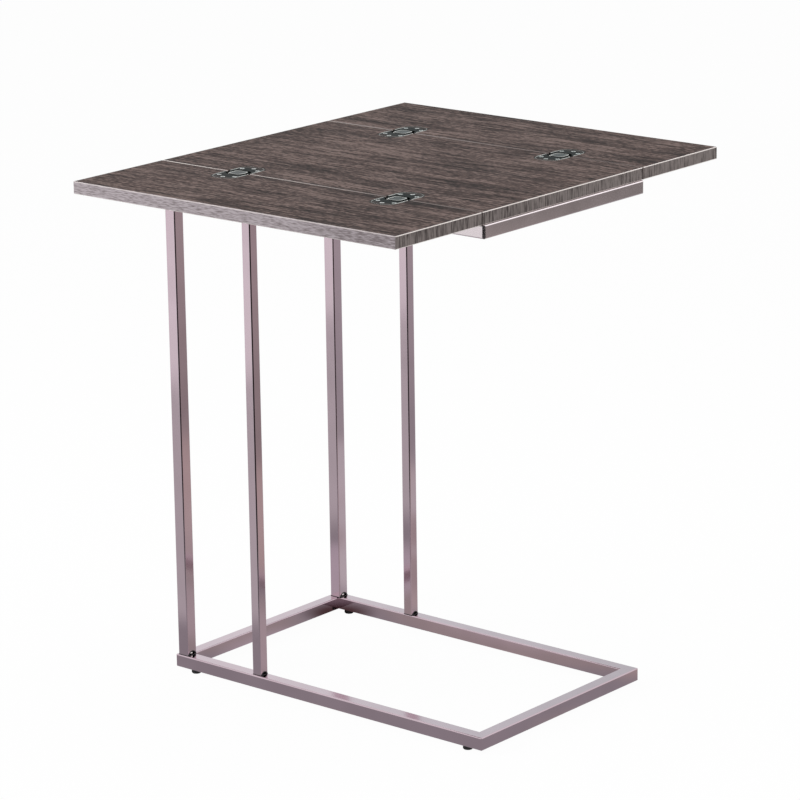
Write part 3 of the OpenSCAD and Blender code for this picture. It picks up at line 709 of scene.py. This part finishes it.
def painted_floor_reflection(tree):
    """Painted reflection: how the floor looks in the metal, a colour for each direction and
    distance.

    The paper is bright to the left and behind, and dimmer to the right. On the camera's side
    the studio is dark, which draws a dark line on every rounded upright edge. Directions are
    shares of a turn, as direction_share gives them, and distances are metres.
    """
    place = add_node(tree, "ShaderNodeTexCoord").outputs["Object"]
    share = direction_share(tree, place)
    dark = grey(0.02)
    warm = (0.60, 0.51, 0.475, 1.0)
    tan = (0.50, 0.445, 0.435, 1.0)
    # A ring round the table
    ring = add_node(tree, "ShaderNodeValToRGB", links={"Fac": share},
                    stops=[(0.0, grey(0.62)), (0.17, grey(0.62)), (0.205, dark), (0.55, dark),
                           (0.585, warm), (0.65, warm), (0.69, grey(0.69)), (0.82, grey(0.69)),
                           (1.0, grey(0.62))]).outputs["Color"]
    # The floor just past the ring
    close = add_node(tree, "ShaderNodeValToRGB", links={"Fac": share},
                     stops=[(0.0, grey(1.0)), (0.17, grey(1.0)), (0.205, dark), (0.57, dark),
                            (0.60, (0.36, 0.32, 0.31, 1.0)), (0.638, (0.37, 0.33, 0.32, 1.0)),
                            (0.662, (0.39, 0.375, 0.39, 1.0)), (0.685, (0.46, 0.45, 0.46, 1.0)),
                            (0.80, grey(0.75)), (1.0, grey(1.0))]).outputs["Color"]
    # The floor far away
    away = add_node(tree, "ShaderNodeValToRGB", links={"Fac": share},
                    stops=[(0.0, grey(1.0)), (0.17, grey(1.0)), (0.205, dark), (0.57, dark),
                           (0.60, tan), (0.638, tan), (0.654, (0.52, 0.50, 0.51, 1.0)),
                           (0.665, (0.60, 0.58, 0.60, 1.0)), (0.80, grey(0.85)),
                           (1.0, grey(1.0))]).outputs["Color"]
    distance = add_node(tree, "ShaderNodeVectorMath", operation="LENGTH",
                        links={0: place}).outputs["Value"]
    farness = add_node(tree, "ShaderNodeMapRange",
                       values={"From Min": 0.95, "From Max": 2.2},
                       links={"Value": distance}).outputs[0]
    far = add_node(tree, "ShaderNodeMix", data_type="RGBA",
                   links={FACTOR: farness, COLOUR_A: close, COLOUR_B: away}).outputs[MIXED]
    # The ring is half as wide on the open end's side
    narrow = add_node(tree, "ShaderNodeMapRange",
                      values={"From Min": 0.4, "From Max": 0.57, "To Min": 1.0, "To Max": 2.06},
                      links={"Value": share}).outputs[0]
    stretched = add_node(tree, "ShaderNodeMath", operation="MULTIPLY",
                         links={0: distance, 1: narrow}).outputs[0]
    beyond = add_node(tree, "ShaderNodeMapRange", interpolation_type="SMOOTHSTEP",
                      values={"From Min": 1.58, "From Max": 1.72},
                      links={"Value": stretched}).outputs[0]
    outer = add_node(tree, "ShaderNodeMix", data_type="RGBA",
                     links={FACTOR: beyond, COLOUR_A: ring, COLOUR_B: far}).outputs[MIXED]
    # Only the bar under the top mirrors the floor past the paper's far edge
    last = add_node(tree, "ShaderNodeMapRange",
                    values={"From Min": 5.2, "From Max": 5.9},
                    links={"Value": stretched}).outputs[0]
    outer = add_node(tree, "ShaderNodeMix", data_type="RGBA",
                     values={COLOUR_B: (0.235, 0.218, 0.21, 1.0)},
                     links={FACTOR: last, COLOUR_A: outer}).outputs[MIXED]
    # Under the table the floor is lighter in the middle, and the table's own shade lies round it
    table_middle, shade_middle = (0.0, 0.0, 0.0), (0.0, -0.09, 0.0)
    off_middle = outside_oval(tree, place, table_middle, 0.5, 0.85)
    off_frame = outside_oval(tree, place, table_middle, 0.85, 1.15)
    off_shade = outside_oval(tree, place, shade_middle, 1.8, 2.35)
    within = add_node(tree, "ShaderNodeMix", data_type="RGBA",
                      values={COLOUR_A: (0.55, 0.50, 0.50, 1.0),
                              COLOUR_B: (0.45, 0.41, 0.395, 1.0)},
                      links={FACTOR: off_middle}).outputs[MIXED]
    under = add_node(tree, "ShaderNodeMix", data_type="RGBA",
                     values={COLOUR_B: (0.37, 0.36, 0.375, 1.0)},
                     links={FACTOR: off_frame, COLOUR_A: within}).outputs[MIXED]
    colour = add_node(tree, "ShaderNodeMix", data_type="RGBA",
                      links={FACTOR: off_shade, COLOUR_A: under,
                             COLOUR_B: outer}).outputs[MIXED]
    # Round spots of painted reflection, each with its middle, the radii it fades between, and its
    # colour:
    # light ones beside the leg end and behind the rear rail, dull ones farther behind it, and
    # painted shade at the darkest place, in the rails' inner corner by the rear leg
    painted_reflection_spots = (((-0.33, -0.01, 0.0), 0.09, 0.15, (0.60, 0.56, 0.60, 1.0)),
             ((0.05, 0.25, 0.0), 0.09, 0.14, (0.58, 0.52, 0.50, 1.0)),
             ((0.05, 0.325, 0.0), 0.05, 0.12, (0.50, 0.44, 0.43, 1.0)),
             ((0.17, 0.46, 0.0), 0.05, 0.11, (0.50, 0.44, 0.43, 1.0)),
             ((-0.225, 0.135, 0.0), 0.012, 0.055, (0.10, 0.06, 0.06, 1.0)))
    for middle, core, rim, tone in painted_reflection_spots:
        reach = add_node(tree, "ShaderNodeVectorMath", operation="DISTANCE",
                         values={1: middle}, links={0: place}).outputs["Value"]
        past = add_node(tree, "ShaderNodeMapRange", interpolation_type="SMOOTHSTEP",
                        values={"From Min": core, "From Max": rim},
                        links={"Value": reach}).outputs[0]
        colour = add_node(tree, "ShaderNodeMix", data_type="RGBA", values={COLOUR_A: tone},
                          links={FACTOR: past, COLOUR_B: colour}).outputs[MIXED]
    return colour


def stage_floor():
    """A flat white sweep: the grid z = 0 over 16 m by 16 m round the table."""
    half, lines = 8.0, 9
    span = np.linspace(-half, half, lines)
    x, y = np.meshgrid(span, span)
    points = np.stack([x, y, np.zeros_like(x)], -1).reshape(-1, 3)
    mesh = bpy.data.meshes.new("floor")
    mesh.from_pydata(points.tolist(), [], grid_faces(lines, lines, False, False).tolist())
    mesh.update()
    floor = bpy.data.objects.new("floor", mesh)
    bpy.context.scene.collection.objects.link(floor)
    material, tree = new_material("white_paper_sweep")
    rays = add_node(tree, "ShaderNodeLightPath")
    paper = add_node(tree, "ShaderNodeBsdfDiffuse", values={"Color": grey(0.85)})
    white = add_node(tree, "ShaderNodeEmission", values={"Color": grey(1.0), "Strength": 1.0})
    # Glossy rays see the painted floor reflection instead of the white paper
    mirrored = add_node(tree, "ShaderNodeEmission", values={"Strength": 1.0},
                        links={"Color": painted_floor_reflection(tree)})
    # The camera sees mostly white, with a little of the shaded paper for the shadow
    seen = add_node(tree, "ShaderNodeMath", operation="MULTIPLY", values={1: 0.97},
                    links={0: rays.outputs["Is Camera Ray"]})
    plain = add_node(tree, "ShaderNodeMixShader",
                     links={0: seen.outputs[0], 1: paper.outputs[0], 2: white.outputs[0]})
    blend = add_node(tree, "ShaderNodeMixShader",
                     links={0: rays.outputs["Is Glossy Ray"], 1: plain.outputs[0],
                            2: mirrored.outputs[0]})
    add_node(tree, "ShaderNodeOutputMaterial", links={"Surface": blend.outputs[0]})
    mesh.materials.append(material)


def stage_world(light):
    """A white world where it is seen or mirrored, and a softer one where it lights.

    Behind the table the wall has one greyer panel, which tones the tubes' upper faces.
    """
    world = bpy.data.worlds.new("studio")
    bpy.context.scene.world = world
    world.use_nodes = True
    tree = world.node_tree
    tree.nodes.clear()
    rays = add_node(tree, "ShaderNodeLightPath")
    direct = add_node(tree, "ShaderNodeMath", operation="MAXIMUM",
                      links={0: rays.outputs["Is Camera Ray"], 1: rays.outputs["Is Glossy Ray"]})
    strength = add_node(tree, "ShaderNodeMapRange",
                        values={"To Min": light.fill, "To Max": 1.0},
                        links={"Value": direct.outputs[0]})
    share = direction_share(tree, add_node(tree, "ShaderNodeTexCoord").outputs["Generated"])
    wall = add_node(tree, "ShaderNodeValToRGB", links={"Fac": share},
                    stops=[(0.78, grey(1.0)), (0.83, (0.70, 0.77, 0.77, 1.0)),
                           (0.85, (0.72, 0.79, 0.79, 1.0)), (0.8617, (0.83, 0.90, 0.90, 1.0)),
                           (0.866, (0.97, 1.0, 1.0, 1.0)),
                           (0.92, grey(1.0))]).outputs["Color"]
    white = add_node(tree, "ShaderNodeMix", data_type="RGBA", values={COLOUR_A: grey(1.0)},
                     links={FACTOR: rays.outputs["Is Glossy Ray"], COLOUR_B: wall}).outputs[MIXED]
    background = add_node(tree, "ShaderNodeBackground",
                          links={"Color": white, "Strength": strength.outputs[0]})
    add_node(tree, "ShaderNodeOutputWorld", links={"Surface": background.outputs[0]})


def stage_lamp(name, place, target, size, power, mirrored):
    """A soft lamp at a place, turned towards a target.

    It is either only mirrored, or only lights matt surfaces and leaves no spot in the metal.
    """
    lamp = bpy.data.lights.new(name, "AREA")
    lamp.shape = "RECTANGLE"
    lamp.size, lamp.size_y = size
    lamp.energy = power
    holder = bpy.data.objects.new(name, lamp)
    holder.location = place
    aim = Vector(target) - Vector(place)
    holder.rotation_euler = aim.to_track_quat("-Z", "Y").to_euler()
    holder.visible_camera = False
    holder.visible_glossy = mirrored
    holder.visible_diffuse = not mirrored
    bpy.context.scene.collection.objects.link(holder)


def stage_camera(light):
    """The photograph's camera: place in metres, and turn about Z, tilt and roll in radians.

    All are fitted to the photograph. Forward is (-sin t cos e, cos t cos e, sin e), with t the
    turn and e the tilt, and right and up are then rolled about it.
    """
    place = Vector((2.7141, -3.2392, 1.5149))
    turn, tilt, roll = 0.69857, -0.26838, -0.01437
    picture_width = 800.0
    forward = Vector((-math.sin(turn) * math.cos(tilt), math.cos(turn) * math.cos(tilt),
                      math.sin(tilt)))
    right = forward.cross(Vector((0.0, 0.0, 1.0))).normalized()
    up = right.cross(forward)
    right_rolled = right * math.cos(roll) + up * math.sin(roll)
    up_rolled = up * math.cos(roll) - right * math.sin(roll)
    camera = bpy.data.cameras.new("camera")
    camera.sensor_width = 36.0
    camera.lens = light.lens_px / picture_width * camera.sensor_width
    camera.clip_end = 100.0
    holder = bpy.data.objects.new("camera", camera)
    axes = Matrix((right_rolled, up_rolled, -forward)).transposed()
    holder.matrix_world = Matrix.Translation(place) @ axes.to_4x4()
    bpy.context.scene.collection.objects.link(holder)
    bpy.context.scene.camera = holder


class TABLE_OT_stage(bpy.types.Operator):
    """Makes the white floor, the world, the lamps and the camera."""

    bl_idname = "table.stage"
    bl_label = "Studio"

    def execute(self, context):
        light = context.scene.table_light
        stage_floor()
        stage_world(light)
        stage_lamp("key", place=(-2.0, -2.4, 1.6), target=(0.0, 0.0, 0.35), size=(1.6, 1.6),
                   power=light.key, mirrored=False)
        stage_lamp("top", place=(0.4, 0.3, 2.6), target=(0.0, 0.0, 0.6), size=(2.0, 2.0),
                   power=light.top, mirrored=False)
        # Close to the open end, so that only the bar and the panels' arris mirror it
        stage_lamp("strip", place=(0.42, 0.32, 0.86), target=(0.25, 0.32, 0.63),
                   size=(0.62, 0.18), power=light.strip, mirrored=True)
        stage_camera(light)
        context.scene.view_settings.view_transform = "Standard"
        return {"FINISHED"}


class TABLE_PT_sidebar(bpy.types.Panel):
    """Lists the steps in the sidebar."""

    bl_label = "Side table"
    bl_idname = "TABLE_PT_sidebar"
    bl_space_type = "VIEW_3D"
    bl_region_type = "UI"
    bl_category = "Side table"

    def draw(self, context):
        for step in STEPS:
            self.layout.operator(step.bl_idname)


STEPS = (TABLE_OT_stage, TABLE_OT_panels, TABLE_OT_frame, TABLE_OT_hinges)
GROUPS = {"table_finish": TableFinish, "table_sizes": TableSizes, "table_light": StageLight}


def register():
    """Registers the property groups, the steps and the sidebar."""
    for group in GROUPS.values():
        bpy.utils.register_class(group)
    for name, group in GROUPS.items():
        setattr(bpy.types.Scene, name, bpy.props.PointerProperty(type=group))
    for step in STEPS:
        bpy.utils.register_class(step)
    bpy.utils.register_class(TABLE_PT_sidebar)


def unregister():
    """Takes away what register adds."""
    bpy.utils.unregister_class(TABLE_PT_sidebar)
    for step in reversed(STEPS):
        bpy.utils.unregister_class(step)
    for name, group in GROUPS.items():
        delattr(bpy.types.Scene, name)
        bpy.utils.unregister_class(group)


def main():
    """Makes the table."""
    register()
    for step in STEPS:
        group, name = step.bl_idname.split(".")
        getattr(getattr(bpy.ops, group), name)()


if __name__ == "__main__":
    main()
